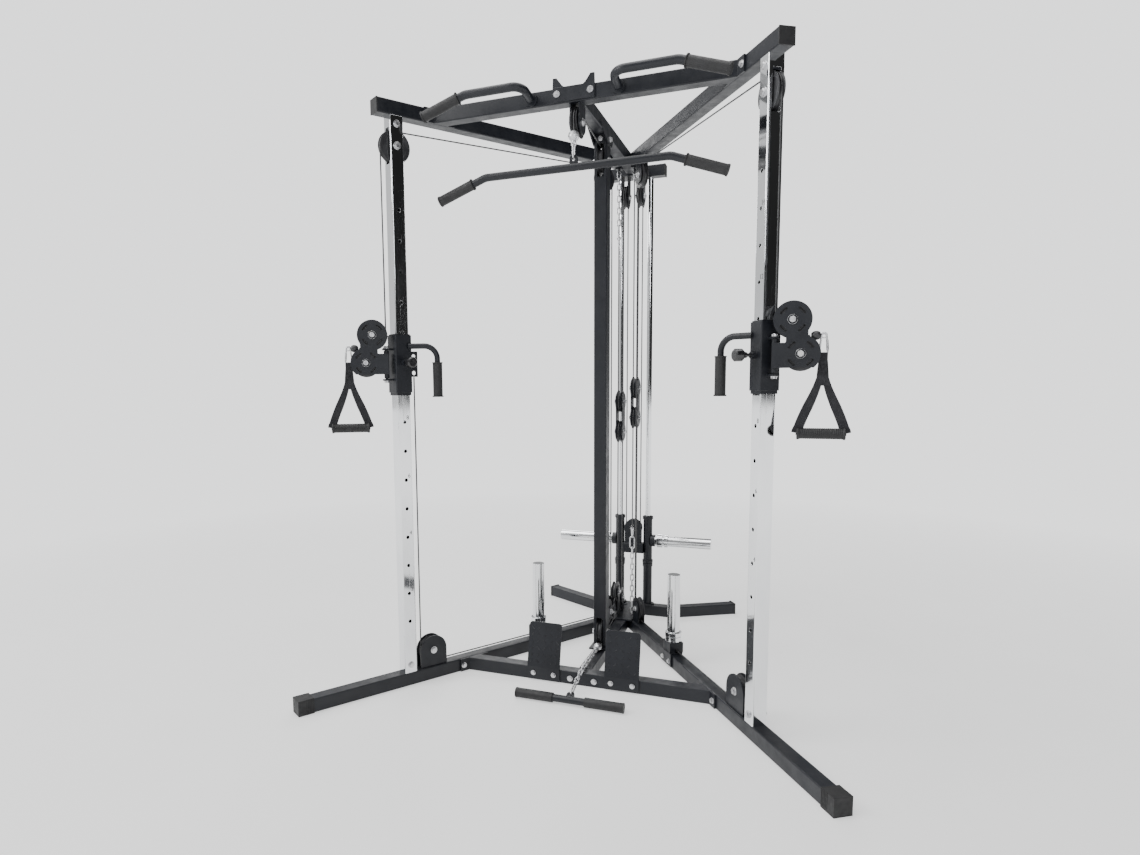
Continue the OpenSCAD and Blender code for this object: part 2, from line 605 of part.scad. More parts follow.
module fixed_cables() color([0.1, 0.1, 0.1]) {
  main_cable(-1, a_top, H0 - 333.8);
  main_cable(1, b_top, H0 - 61.4);
  at_apex() cable_run([block_x, block_y - cable_R, tube + 410], [block_x, block_y - cable_R, b_bot]);
  wheel_x(block_x, block_y, b_bot) bend(cable_R, 0, 180);
  at_apex() cable_run([block_x, block_y + cable_R, tube + 56.2], [block_x, block_y + cable_R, b_bot]);
  for (s = [-1, 1]) side_cable(s);
  lat_row_cable();
}
module block(k, z1, z2) {
  for (z = [z1, z2]) wheel_x(k * block_x, block_y, z) {
    sheave();
    axle(32, 5.9, 9);
  }
  wheel_x(k * block_x, block_y, z2) for (j = [-1, 1]) translate([0, 0, j * 14 - 2]) linear_extrude(4)
    difference() {
      union() {
        for (y = [0, z1 - z2]) translate([0, y]) circle(40, $fn = fine);
        translate([-26, 0]) square([52, z1 - z2]);
      }
      for (y = [0, z1 - z2]) translate([0, y]) circle(6.2);
    }
}
module floating_blocks() color(steel) {
  block(-1, a_top, a_bot);
  block(1, b_top, b_bot);
}

// ---------- trolleys ----------
module sleeve(s) color(steel) on_leg(s) translate([post_c, 0, 0]) {
  translate([0, 0, sleeve_z]) difference() {
    upright_tube(sleeve_w, sleeve_w, sleeve_h, 4);
    translate([0, -sleeve_w / 2, pin_z - sleeve_z]) rotate([90, 0, 0]) cylinder(r = 6, h = 20, center = true);
  }
  // plastic liner with a lip at each end
  translate([0, 0, sleeve_z - 10]) difference() {
    linear_extrude(sleeve_h + 14) difference() {
      square(55.8, center = true);
      square(50.8, center = true);
    }
    translate([0, -30, pin_z - sleeve_z + 10]) rotate([90, 0, 0]) cylinder(r = 7, h = 20, center = true);
  }
  // threaded boss of the locking pin
  translate([0, -sleeve_w / 2 + 1, pin_z]) rotate([90, 0, 0]) difference() {
    cylinder(r = 11, h = 16);
    translate([0, 0, -4]) cylinder(r = 6, h = 30);
  }
  // hinge lugs for the swivel bracket
  for (z = [1142, 1250])
    translate([sleeve_w / 2 - 1, -11, z - 3]) cube([hinge_r - post_c - sleeve_w / 2 + 12, 22, 6]);
  translate([hinge_r - post_c, 0, 0]) {
    translate([0, 0, 1136]) cylinder(r = 6, h = 120);
    for (z = [1132, 1253]) translate([0, 0, z]) cylinder(r = 9, h = 7, $fn = 6);
  }
  // cable anchor plate on the inner side
  difference() {
    translate([-sleeve_w / 2 - 38, -2.5, 1152]) cube([39, 5, 92]);
    for (z = [1166, 1226]) translate([-55, 0, z]) rotate([90, 0, 0]) cylinder(r = 8, h = 20, center = true);
  }
  // curved hand grip arm
  translate([-20, -sleeve_w / 2 + 1, 1261]) rotate([0, 0, 215]) {
    rotate([0, 90, 0]) cylinder(r = 10, h = 56);
    translate([56, 0, -46]) rotate([90, 0, 0]) bend(46, 0, 90, 10);
    translate([102, 0, -46 - 130]) cylinder(r = 10, h = 130);
  }
}
module left_sleeve() { sleeve(-1); }
module right_sleeve() { sleeve(1); }
module trolley_grip(s) color(black) on_leg(s) translate([post_c - 20, -sleeve_w / 2 + 1, 1261])
  rotate([0, 0, 215]) translate([102, 0, -182]) difference() {
    union() {
      cylinder(r = 17, h = 124);
      cylinder(r = 20, h = 4);
      translate([0, 0, 120]) cylinder(r = 18.5, h = 4);
    }
    translate([0, 0, 6]) cylinder(r = 10.05, h = 130);
  }
module left_trolley_grip() { trolley_grip(-1); }
module right_trolley_grip() { trolley_grip(1); }
// Locking pin, shown drawn out so that the trolley is free to slide.
module pop_pin(s) color(black) on_leg(s) translate([post_c, -25.5, pin_z]) rotate([90, 0, 0]) {
  cylinder(r = 5.4, h = 50);
  translate([0, 0, 36]) cylinder(r = 9, h = 12);
  translate([0, 0, 46]) cylinder(r1 = 14, r2 = 19, h = 6);
  translate([0, 0, 52]) cylinder(r = 19, h = 20);
  translate([0, 0, 72]) cylinder(r1 = 19, r2 = 15, h = 4);
}
module left_pop_pin() { pop_pin(-1); }
module right_pop_pin() { pop_pin(1); }
module swivel(s) color(steel) wheel_swivel(s) {
  for (k = [-1, 1]) translate([0, 0, k * 15 - 2]) linear_extrude(4) difference() {
    union() {
      translate([47, 1300]) circle(53, $fn = fine);
      intersection() {
        translate([71, 1202]) circle(54, $fn = fine);
        translate([-20, 1162]) square([200, 160]);
      }
      translate([30, 1202]) square([60, 98]);
      translate([-8, 1162]) square([79, 72]);
    }
    for (c = [[47, 1300], [71, 1202]]) {
      translate(c) circle(6.2);
      for (a = [45:90:315]) translate(c) rotate(a) {
        translate([31, -8]) square([9, 16]);
        for (y = [-8, 8]) translate([35.5, y]) circle(4.5);
      }
    }
  }
  // folded back and hinge barrel
  difference() {
    union() {
      translate([-8, 1162, -13]) cube([3, 72, 26]);
      translate([0, 1148, 0]) rotate([-90, 0, 0]) cylinder(r = 9, h = 97);
    }
    translate([0, 1147, 0]) rotate([-90, 0, 0]) cylinder(r = 6.3, h = 100);
  }
  for (c = [[47, 1300], [71, 1202]]) translate([c[0], c[1], 0]) axle(34, 5.9, 10);
}
module left_swivel() { swivel(-1); }
module right_swivel() { swivel(1); }
module swivel_pulleys(s) color(black) wheel_swivel(s) for (c = [[47, 1300], [71, 1202]])
  translate([c[0], c[1], 0]) sheave(50, 47);
module left_swivel_pulleys() { swivel_pulleys(-1); }
module right_swivel_pulleys() { swivel_pulleys(1); }
// Cable from the hinge line round the upper pulley to the ball stop.
module cable_end(s) color(black) wheel_swivel(s) {
  translate([47, 1300, 0]) bend(47, 180, 90);
  translate([47, 1253, 0]) rotate([0, 90, 0]) cylinder(r = cable_r, h = 52, $fn = low);
  translate([111, 1253, 0]) rotate([0, 90, 0]) rotate_extrude($fn = mid)
    polygon([[0, -14], [6, -14], [11.5, -8], [13, 0], [11.5, 7], [7, 12], [5, 12], [5, 14], [0, 14]]);
  translate([hang_x, 1253, 0]) difference() {
    cylinder(r = 9.5, h = 4, center = true);
    cylinder(r = 4.8, h = 6, center = true);
  }
}
module left_cable_end() { cable_end(-1); }
module right_cable_end() { cable_end(1); }
// Snap hook, ring, webbing and hand grip hanging from the ball stop.
module hand_strap(s) color(black) wheel_swivel(s) translate([hang_x, 1251.8, 0]) {
  rotate([-90, 0, 0]) translate([0, 0, -43]) rotate([0, 0, 90]) snap_hook(7, 12, 36, 3);
  translate([0, -58.7, 0]) rotate_extrude($fn = mid) translate([9, 0]) circle(2, $fn = low);
  // webbing: a loop round the ring, two arms and a strip through the grip
  translate([-11.5, -97, -5]) cube([23, 32, 10]);
  translate([0, -86, -2]) linear_extrude(4) difference() {
    polygon([[-17, -10], [17, -10], [17, -50], [66, -172], [72, -200], [-72, -200], [-66, -172], [-17, -50]]);
    polygon([[0, -66], [46, -176], [-46, -176]]);
    translate([-66.5, -215]) square([133, 39]);
  }
  translate([-66, -280, 0]) rotate([0, 90, 0]) difference() {
    cylinder(r = 16, h = 132, $fn = fine);
    translate([0, 0, -1]) cylinder(r = 12.5, h = 134, $fn = fine);
  }
  translate([-68.5, -284, -2]) cube([137, 6, 4]);
}
module left_hand_strap() { hand_strap(-1); }
module right_hand_strap() { hand_strap(1); }
module upper_cable(s) color([0.1, 0.1, 0.1]) on_leg(s) run([hinge_r, 0, 1301], [hinge_r, 0, post_axle_z - 1]);
module left_upper_cable() { upper_cable(-1); }
module right_upper_cable() { upper_cable(1); }
module lower_cable(s) color([0.1, 0.1, 0.1]) on_leg(s) run([leg_line, 0, leg_pz + 1], [leg_line, 0, 1151]);
module left_lower_cable() { lower_cable(-1); }
module right_lower_cable() { lower_cable(1); }

// ---------- lat bar, row bar and carriage ----------
module bar_end(half, r) {
  translate([half, 0, -60]) rotate([90, 0, 0]) bend(60, 70, 20, r + 0.2);
  translate([half + 60 * sin(20), 0, -60 + 60 * cos(20)]) rotate([0, 110, 0]) children();
}
module lat_bar() color(steel) at_apex() translate([0, -lat_y - cable_R, lat_z - 10]) {
  run([-310, 0, 0], [310, 0, 0], bar_r, mid);
  for (s = [0, 1]) mirror([s, 0, 0]) bar_end(310, bar_r) cylinder(r = bar_r, h = 172);
  difference() {
    union() {
      translate([-14, -4, 0]) cube([28, 8, 26]);
      translate([0, 0, 26]) rotate([90, 0, 0]) cylinder(r = 14, h = 8, center = true);
    }
    translate([0, 0, 26]) rotate([90, 0, 0]) cylinder(r = 6.5, h = 20, center = true);
  }
}
module lat_bar_grips() color(black) at_apex() translate([0, -lat_y - cable_R, lat_z - 10])
  for (s = [0, 1]) mirror([s, 0, 0]) translate([310 + 60 * sin(20), 0, -60 + 60 * cos(20)])
    rotate([0, 110, 0]) difference() {
      union() {
        translate([0, 0, 42]) cylinder(r = 17.5, h = 136);
        translate([0, 0, 40]) cylinder(r = 20, h = 4);
        translate([0, 0, 174]) cylinder(r = 19, h = 5);
      }
      translate([0, 0, 36]) cylinder(r = bar_r + 0.05, h = 136.1);
    }
module lat_hanger() color(zinc) at_apex() translate([0, -lat_y - cable_R, lat_z + 16]) {
  translate([0, 0, 15.5]) rotate([0, 0, 90]) snap_hook(8, 13, 24, 3);
  translate([0, 0, 48.7]) rotate([90, 0, 0]) rotate_extrude($fn = mid) translate([7, 0]) circle(cable_r, $fn = low);
  translate([0, 0, 54]) cylinder(r = 8, h = 8);
  translate([0, 0, 59]) rotate_extrude($fn = mid)
    polygon([[0, 0], [12, 0], [18, 9], [19, 16], [17, 24], [9, 31], [0, 31]]);
}
module lat_drop_cable() color([0.1, 0.1, 0.1]) at_apex()
  run([0, -lat_y - cable_R, lat_z + 106], [0, -lat_y - cable_R, lat_pz]);
row_y = -935;
module row_bar() color(steel) at_apex() translate([0, row_y, 18]) {
  run([-row_len / 2 + 2, 0, 0], [row_len / 2 - 2, 0, 0], bar_r, mid);
  rotate([16.5, 0, 0]) difference() {
    union() {
      translate([-14, 0, -4]) cube([28, 26, 8]);
      translate([0, 26, -4]) cylinder(r = 14, h = 8);
    }
    translate([0, 26, -6]) cylinder(r = 6.5, h = 12);
  }
}
module row_bar_grips() color(black) at_apex() for (s = [0, 1]) mirror([s, 0, 0])
  translate([row_len / 2 - 138, row_y, 18]) rotate([0, 90, 0]) difference() {
    union() {
      cylinder(r = 17, h = 136);
      translate([0, 0, 134]) cylinder(r = 17.8, h = 5);
    }
    translate([0, 0, -1]) cylinder(r = bar_r + 0.05, h = 137.1);
  }
function drape(y) = low_pz - cable_R - 0.0000016 * pow(max(0, -y - 600), 3);
function slope(y) = atan2(drape(y + 1) - drape(y - 1), 2);
function link_y(i) = i == 0 ? -up_y - 105.2 : link_y(i - 1) - 24.9 * cos(slope(link_y(i - 1) - 12));
module row_chain() color(zinc) at_apex() {
  // ball stop in front of the upright
  translate([0, -up_y - 45, low_pz - cable_R]) rotate([90, 0, 0]) {
    rotate_extrude($fn = mid) polygon([[0, 0], [10, 0], [15, 7], [16.5, 15], [14, 24], [8, 30], [0, 30]]);
    translate([0, 0, 29]) cylinder(r = 5, h = 8);
    translate([0, 0, 43]) rotate([0, 90, 0]) rotate_extrude($fn = mid) translate([7, 0]) circle(2.5, $fn = low);
  }
  for (i = [0:10]) {
    y = link_y(i);
    z = drape(y);
    t = slope(y);
    translate([0, y, z]) rotate([t - 90, 0, 0]) rotate([0, 0, i % 2 * 90]) link(26, 5);
  }
  translate([0, -910.1, 25.4]) rotate([-73.6, 0, 0]) translate([0, 0, 12]) rotate([0, 0, 90]) snap_hook(7, 12, 54.9, 3);
}
module carriage_frame() color(steel) at_apex() {
  for (k = [-1, 1]) translate([k * rod_x, rod_y, 0]) difference() {
    union() {
      translate([0, 0, 255]) cylinder(r = 21, h = 230, $fn = fine);
      for (z = [258, 470]) translate([0, 0, z]) cylinder(r = 25, h = 12, $fn = fine);
      translate([k > 0 ? 16 : -36, 0, horn_z]) rotate([0, 90, 0]) cylinder(r = 28, h = 20, $fn = fine);
    }
    translate([0, 0, 250]) cylinder(r = rod_r + 0.35, h = 240, $fn = fine);
  }
  difference() {
    translate([-50, 139, 305]) rhs(100, 46, 47);
    for (k = [-1, 1]) translate([k * rod_x, rod_y, 300]) cylinder(r = 20.9, h = 60, $fn = fine);
  }
  for (y = [118, 150]) translate([0, y + 4, 0]) rotate([90, 0, 0]) linear_extrude(4) difference() {
    union() {
      translate([0, 426]) circle(41, $fn = fine);
      translate([-38, 350]) square([76, 76]);
    }
    translate([0, 426]) circle(6.2);
  }
  translate([0, 136, 426]) rotate([90, 0, 0]) axle(36, 5.9, 10);
}
module weight_horns() color(chrome) at_apex() for (k = [0, 1]) mirror([k, 0, 0])
  translate([rod_x + 36, rod_y, horn_z]) rotate([0, 90, 0]) {
    difference() {
      union() {
        // turned down under the collars, full size where plates sit
        cylinder(r = horn_r - 1, h = 64, $fn = fine);
        translate([0, 0, 64]) cylinder(r = horn_r, h = horn_x - rod_x - 100, $fn = fine);
      }
      translate([0, 0, 20]) cylinder(r = horn_r - 3, h = horn_x - rod_x - 60, $fn = fine);
    }
    for (c = [[12, 25, 33], [46, 16, 31]]) translate([0, 0, c[0]]) difference() {
      cylinder(r = c[2], h = c[1], $fn = fine);
      translate([0, 0, -1]) cylinder(r = horn_r - 0.9, h = c[1] + 2, $fn = fine);
    }
  }
module carriage_pulley() color(black) at_apex() translate([0, 136, 426]) rotate([90, 0, 0]) sheave(39, 34);
module carriage_cables() color([0.1, 0.1, 0.1]) at_apex() {
  for (k = [-1, 1]) run([k * block_x, 136, 426], [k * block_x, 136, top_back_z - 1]);
  translate([0, 136, 426]) rotate([90, 0, 0]) bend(34, 180, 180);
}

// ---------- output ----------
side_legs();
foot_beam();
floor_spine();
rear_foot();
end_caps();
centre_upright();
top_side_beams();
top_crossbar();
top_spine();
rear_top_beam();
front_posts();
foot_plates();
bar_hook_plate();
pullup_handles();
pullup_grips();
guide_rods();
rod_base_tubes();
pulley_brackets();
frame_bolts();
storage_pegs();
peg_brackets();
fixed_cables();
anchor_chains();
guide_pulleys();
lat_pulley();
upright_pulley();
low_pulley();
left_post_pulley();
right_post_pulley();
rear_top_pulleys();
left_sleeve();
right_sleeve();
left_trolley_grip();
right_trolley_grip();
left_pop_pin();
right_pop_pin();
left_swivel();
right_swivel();
left_swivel_pulleys();
right_swivel_pulleys();
left_cable_end();
right_cable_end();
left_hand_strap();
right_hand_strap();
left_upper_cable();
right_upper_cable();
left_lower_cable();
right_lower_cable();
lat_bar();
lat_bar_grips();
lat_hanger();
lat_drop_cable();
row_bar();
row_bar_grips();
row_chain();
carriage_frame();
weight_horns();
carriage_pulley();
carriage_cables();
floating_blocks();
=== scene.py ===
import json
import math
import bpy
import bmesh
from mathutils import Matrix, Vector


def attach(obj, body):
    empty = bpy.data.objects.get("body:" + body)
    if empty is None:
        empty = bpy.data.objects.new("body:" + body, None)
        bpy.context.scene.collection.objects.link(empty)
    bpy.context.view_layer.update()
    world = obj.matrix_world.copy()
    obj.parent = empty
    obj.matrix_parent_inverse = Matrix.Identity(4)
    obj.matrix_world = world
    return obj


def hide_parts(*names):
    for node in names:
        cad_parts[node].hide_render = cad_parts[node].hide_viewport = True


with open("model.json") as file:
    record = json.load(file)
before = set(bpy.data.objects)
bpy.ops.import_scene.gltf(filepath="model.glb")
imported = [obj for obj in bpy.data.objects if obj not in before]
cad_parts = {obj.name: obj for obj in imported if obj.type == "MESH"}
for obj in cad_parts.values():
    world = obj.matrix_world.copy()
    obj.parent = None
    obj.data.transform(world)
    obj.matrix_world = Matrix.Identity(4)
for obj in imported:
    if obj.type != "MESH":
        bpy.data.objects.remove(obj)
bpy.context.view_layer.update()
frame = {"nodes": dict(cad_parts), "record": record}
N = frame["nodes"]
scene = bpy.context.scene

# Legs stand at LEG_ANGLE to the centre line and meet at y = APEX, in metres.
LEG_ANGLE = math.radians(33)
S, C, APEX = math.sin(LEG_ANGLE), math.cos(LEG_ANGLE), 0.5046
POST_R = 1145          # leg frame distance of a post's centre line, in mm
POST_FACE_Y = -25.15   # just off a post's drilled face, in mm
HINGE_R = 1198         # leg frame distance of the swivel's hinge line, in mm
FIRST_HOLE, HOLE_PITCH = 248, 106          # mm
PULLEY_R = 0.047       # the end cable's radius round the swivel's upper pulley
UPPER_PULLEY, LOWER_PULLEY = (0.047, 1.300), (0.071, 1.202)   # in the swivel's plane
END_X, END_Z = 0.1315, 1.253               # the cable end's ring, in the swivel's plane
SWIVEL_TURN = {1: 0, -1: -30}              # degrees, right and left swivel at rest
CAMERA_AT, CAMERA_LENS, CAMERA_SHIFT = (0.7149, -2.7627, 1.1304), 22.84, (0.0468, 0.0285)
CAMERA_YAW, CAMERA_PITCH, CAMERA_ROLL = 21.117, -6.177, -0.616    # degrees
BACKDROP, BACKDROP_STRENGTH = (0.93, 0.935, 0.94), 1.9


# ---------- camera, lights and world ------
def make_camera():
    """Camera at the photograph's viewing angle."""
    yaw, pitch, roll = (math.radians(a) for a in (CAMERA_YAW, CAMERA_PITCH, CAMERA_ROLL))
    fwd = Vector((-math.sin(yaw) * math.cos(pitch), math.cos(yaw) * math.cos(pitch), math.sin(pitch)))
    right = Vector((math.cos(yaw), math.sin(yaw), 0))
    up = right.cross(fwd)
    r2 = right * math.cos(roll) + up * math.sin(roll)
    u2 = -right * math.sin(roll) + up * math.cos(roll)
    cam = bpy.data.objects.new("camera", bpy.data.cameras.new("camera"))
    scene.collection.objects.link(cam)
    m = Matrix((r2, u2, -fwd)).transposed().to_4x4()
    m.translation = Vector(CAMERA_AT)
    cam.matrix_world = m
    cam.data.sensor_width = 36
    cam.data.lens = CAMERA_LENS
    cam.data.shift_x, cam.data.shift_y = CAMERA_SHIFT
    scene.camera = cam


make_camera()


def light(name, loc, target, size, power, colour=(1, 1, 1)):
    data = bpy.data.lights.new(name, "AREA")
    data.shape = "RECTANGLE"
    data.size, data.size_y = size
    data.energy = power
    data.color = colour
    o = bpy.data.objects.new(name, data)
    scene.collection.objects.link(o)
    o.location = loc
    o.rotation_euler = (Vector(target) - Vector(loc)).to_track_quat("-Z", "Y").to_euler()


light("key", (-3.0, -2.6, 3.4), (0, 0, 0.9), (2.2, 1.8), 110)
light("fill", (2.2, -4.4, 2.8), (0, 0, 1.0), (1.4, 1.4), 45, (0.95, 0.97, 1.0))
light("top", (0.0, 0.0, 4.6), (0, 0, 0), (4.2, 3.2), 110)
light("rim", (-1.6, 3.4, 2.8), (0, 0, 1.2), (2.6, 1.2), 70)
sun = bpy.data.objects.new("sun", bpy.data.lights.new("sun", "SUN"))
sun.data.energy = 1.3
sun.data.angle = math.radians(50)
sun.rotation_euler = (math.radians(18), math.radians(-12), 0)
scene.collection.objects.link(sun)
world = bpy.data.worlds.new("world")
scene.world = world
world.use_nodes = True


def studio():
    """Pale room: bright on the left, darker on the right, so polished faces show both."""
    t = world.node_tree
    out = t.nodes["World Output"]
    plain_bg = t.nodes["Background"]
    plain_bg.inputs["Color"].default_value = (*BACKDROP, 1)
    plain_bg.inputs["Strength"].default_value = BACKDROP_STRENGTH
    room = t.nodes.new("ShaderNodeBackground")
    room.inputs["Strength"].default_value = 0.9
    co = t.nodes.new("ShaderNodeTexCoord")
    xyz = t.nodes.new("ShaderNodeSeparateXYZ")
    t.links.new(co.outputs["Generated"], xyz.inputs[0])
    ramp = t.nodes.new("ShaderNodeValToRGB")
    e = ramp.color_ramp.elements
    stops = [(0.0, 0.95), (0.3, 0.8), (0.42, 0.35), (0.6, 0.25), (0.8, 0.05), (1.0, 0.02)]
    for i, (pos, v) in enumerate(stops):
        el = e[i] if i < 2 else e.new(pos)
        el.position = pos
        el.color = (v, v * 1.005, v * 1.01, 1)
    half = t.nodes.new("ShaderNodeMapRange")
    half.inputs["From Min"].default_value = -1
    t.links.new(xyz.outputs["X"], half.inputs["Value"])
    wob = t.nodes.new("ShaderNodeTexNoise")
    wob.inputs["Scale"].default_value = 2.4
    wob.inputs["Detail"].default_value = 3
    t.links.new(co.outputs["Generated"], wob.inputs["Vector"])
    add = t.nodes.new("ShaderNodeMath")
    add.operation = "MULTIPLY_ADD"
    t.links.new(wob.outputs["Fac"], add.inputs[0])
    add.inputs[1].default_value = 0.5
    t.links.new(half.outputs["Result"], add.inputs[2])
    sub = t.nodes.new("ShaderNodeMath")
    sub.operation = "SUBTRACT"
    t.links.new(add.outputs[0], sub.inputs[0])
    sub.inputs[1].default_value = 0.25
    t.links.new(sub.outputs[0], ramp.inputs["Fac"])
    t.links.new(ramp.outputs["Color"], room.inputs["Color"])
    path = t.nodes.new("ShaderNodeLightPath")
    mix = t.nodes.new("ShaderNodeMixShader")
    t.links.new(path.outputs["Is Camera Ray"], mix.inputs[0])
    t.links.new(room.outputs[0], mix.inputs[1])
    t.links.new(plain_bg.outputs[0], mix.inputs[2])
    t.links.new(mix.outputs[0], out.inputs["Surface"])


studio()


# ---------- materials ----------
class Mat:
    """Small wrapper that adds nodes to one material."""

    def __init__(self, name, rough=0.5, metal=0.0, base=(0.5, 0.5, 0.5)):
        self.m = bpy.data.materials.new(name)
        self.m.use_nodes = True
        self.t = self.m.node_tree
        self.b = self.t.nodes["Principled BSDF"]
        self.b.inputs["Roughness"].default_value = rough
        self.b.inputs["Metallic"].default_value = metal
        self.b.inputs["Base Color"].default_value = (*base, 1)
        self.pos = self.t.nodes.new("ShaderNodeTexCoord").outputs["Object"]

    def link(self, a, b):
        self.t.links.new(a, b)

    def node(self, kind, **sets):
        n = self.t.nodes.new(kind)
        for k, v in sets.items():
            setattr(n, k, v)
        return n

    def stretch(self, scale):
        n = self.node("ShaderNodeMapping")
        n.inputs["Scale"].default_value = scale
        self.link(self.pos, n.inputs["Vector"])
        return n.outputs["Vector"]

    def noise(self, scale, detail=4, rough=0.55, vec=None, distort=0):
        n = self.node("ShaderNodeTexNoise")
        n.inputs["Scale"].default_value = scale
        n.inputs["Detail"].default_value = detail
        n.inputs["Roughness"].default_value = rough
        n.inputs["Distortion"].default_value = distort
        self.link(vec or self.pos, n.inputs["Vector"])
        return n.outputs["Fac"]

    def ramp(self, fac, stops):
        n = self.node("ShaderNodeValToRGB")
        e = n.color_ramp.elements
        for i, (p, c) in enumerate(stops):
            el = e[i] if i < 2 else e.new(p)
            el.position = p
            el.color = (*c, 1) if len(c) == 3 else c
        self.link(fac, n.inputs["Fac"])
        return n.outputs["Color"]

    def mix(self, fac, a, b):
        n = self.node("ShaderNodeMix", data_type="RGBA")
        for s, v in ((0, fac), (6, a), (7, b)):
            if hasattr(v, "is_linked"):
                self.link(v, n.inputs[s])
            else:
                n.inputs[s].default_value = v if s == 0 else (*v, 1)
        return n.outputs[2]

    def math(self, op, a, b=None):
        n = self.node("ShaderNodeMath", operation=op)
        for s, v in ((0, a), (1, b)):
            if v is None:
                continue
            if hasattr(v, "is_linked"):
                self.link(v, n.inputs[s])
            else:
                n.inputs[s].default_value = v
        return n.outputs[0]

    def remap(self, fac, lo, hi, a=0.0, b=1.0):
        n = self.node("ShaderNodeMapRange")
        n.inputs["From Min"].default_value = a
        n.inputs["From Max"].default_value = b
        n.inputs["To Min"].default_value = lo
        n.inputs["To Max"].default_value = hi
        self.link(fac, n.inputs["Value"])
        return n.outputs["Result"]

    def bump(self, *layers, edge=0.0):
        """layers: (height, strength, distance)."""
        prev = None
        if edge:
            n = self.node("ShaderNodeBevel")
            n.samples = 4
            n.inputs["Radius"].default_value = edge
            prev = n.outputs["Normal"]
        for h, s, d in layers:
            n = self.node("ShaderNodeBump")
            n.inputs["Strength"].default_value = s
            n.inputs["Distance"].default_value = d
            self.link(h, n.inputs["Height"])
            if prev:
                self.link(prev, n.inputs["Normal"])
            prev = n.outputs["Normal"]
        self.link(prev, self.b.inputs["Normal"])

    def edge_mask(self, radius):
        """1 on sharp edges, 0 on flat faces."""
        n = self.node("ShaderNodeBevel")
        n.samples = 4
        n.inputs["Radius"].default_value = radius
        g = self.node("ShaderNodeNewGeometry")
        d = self.node("ShaderNodeVectorMath", operation="DOT_PRODUCT")
        self.link(n.outputs["Normal"], d.inputs[0])
        self.link(g.outputs["Normal"], d.inputs[1])
        return self.remap(d.outputs["Value"], 1.0, 0.0, 0.86, 0.99)

    def upness(self):
        g = self.node("ShaderNodeNewGeometry")
        x = self.node("ShaderNodeSeparateXYZ")
        self.link(g.outputs["Normal"], x.inputs[0])
        return self.math("MAXIMUM", x.outputs["Z"], 0.0)

    def done(self, colour=None, rough=None, metal=None):
        for k, v in (("Base Color", colour), ("Roughness", rough), ("Metallic", metal)):
            if v is not None:
                self.link(v, self.b.inputs[k])
        return self.m


def powder(name, dark, lift):
    """Black powder coat with specks, scuffs, worn edges and dust on upward faces."""
    k = Mat(name, 0.42, 0.0, dark)
    k.b.inputs["Specular IOR Level"].default_value = 0.4
    cloud = k.noise(3.2, 5)
    col = k.ramp(cloud, [(0.3, dark), (0.75, lift)])
    speck = k.noise(520, 2)
    col = k.mix(k.remap(speck, 0.0, 0.4, 0.52, 0.8), col, tuple(2.4 * v for v in lift))
    scuff = k.noise(9, 6, 0.7, k.stretch((1, 1, 3.5)), 0.6)
    scuffs = k.remap(scuff, 0.0, 0.55, 0.66, 0.8)
    col = k.mix(scuffs, col, (0.03, 0.032, 0.036))
    wear = k.math("MULTIPLY", k.edge_mask(0.0016), k.remap(k.noise(38, 4), 0.0, 0.8, 0.52, 0.7))
    col = k.mix(wear, col, (0.13, 0.13, 0.135))
    dust = k.math("MULTIPLY", k.upness(), k.remap(k.noise(14, 5), 0.0, 0.1, 0.4, 0.8))
    col = k.mix(dust, col, (0.2, 0.195, 0.19))
    rough = k.math("ADD", k.remap(k.noise(26, 5), 0.34, 0.52, 0.3, 0.7),
                   k.math("MULTIPLY", scuffs, 0.2))
    k.bump((k.noise(750, 2), 0.22, 0.0004), (k.noise(90, 3), 0.08, 0.0012), edge=0.0014)
    return k.done(col, rough)


def chrome_mat(name, axis_scale):
    """Polished chrome; its fine scratches run along the axis that axis_scale makes small."""
    k = Mat(name, 0.08, 1.0, (0.8, 0.81, 0.83))
    smear = k.noise(7, 6, 0.65, k.stretch((1, 1, 0.35)), 0.8)
    col = k.ramp(smear, [(0.25, (0.74, 0.75, 0.77)), (0.7, (0.86, 0.87, 0.88))])
    scratch = k.noise(210, 3, 0.6, k.stretch(axis_scale))
    rub = k.remap(scratch, 0.0, 0.14, 0.58, 0.8)
    rough = k.math("ADD", k.remap(smear, 0.035, 0.13, 0.35, 0.75), rub)
    spot = k.remap(k.noise(130, 3), 0.0, 0.5, 0.72, 0.85)
    col = k.mix(spot, col, (0.33, 0.3, 0.27))
    k.bump((scratch, 0.05, 0.0003), (k.noise(5, 2), 0.03, 0.004), edge=0.0012)
    return k.done(col, rough)


def zinc_mat():
    k = Mat("zinc_plate", 0.3, 0.9)
    n = k.noise(60, 5)
    col = k.ramp(n, [(0.3, (0.5, 0.5, 0.52)), (0.6, (0.72, 0.72, 0.73)), (0.8, (0.72, 0.69, 0.6))])
    col = k.mix(k.remap(k.noise(240, 4), 0.0, 0.7, 0.6, 0.75), col, (0.2, 0.19, 0.18))
    k.bump((k.noise(420, 3), 0.2, 0.0004), edge=0.0006)
    return k.done(col, k.remap(n, 0.22, 0.48, 0.3, 0.75))


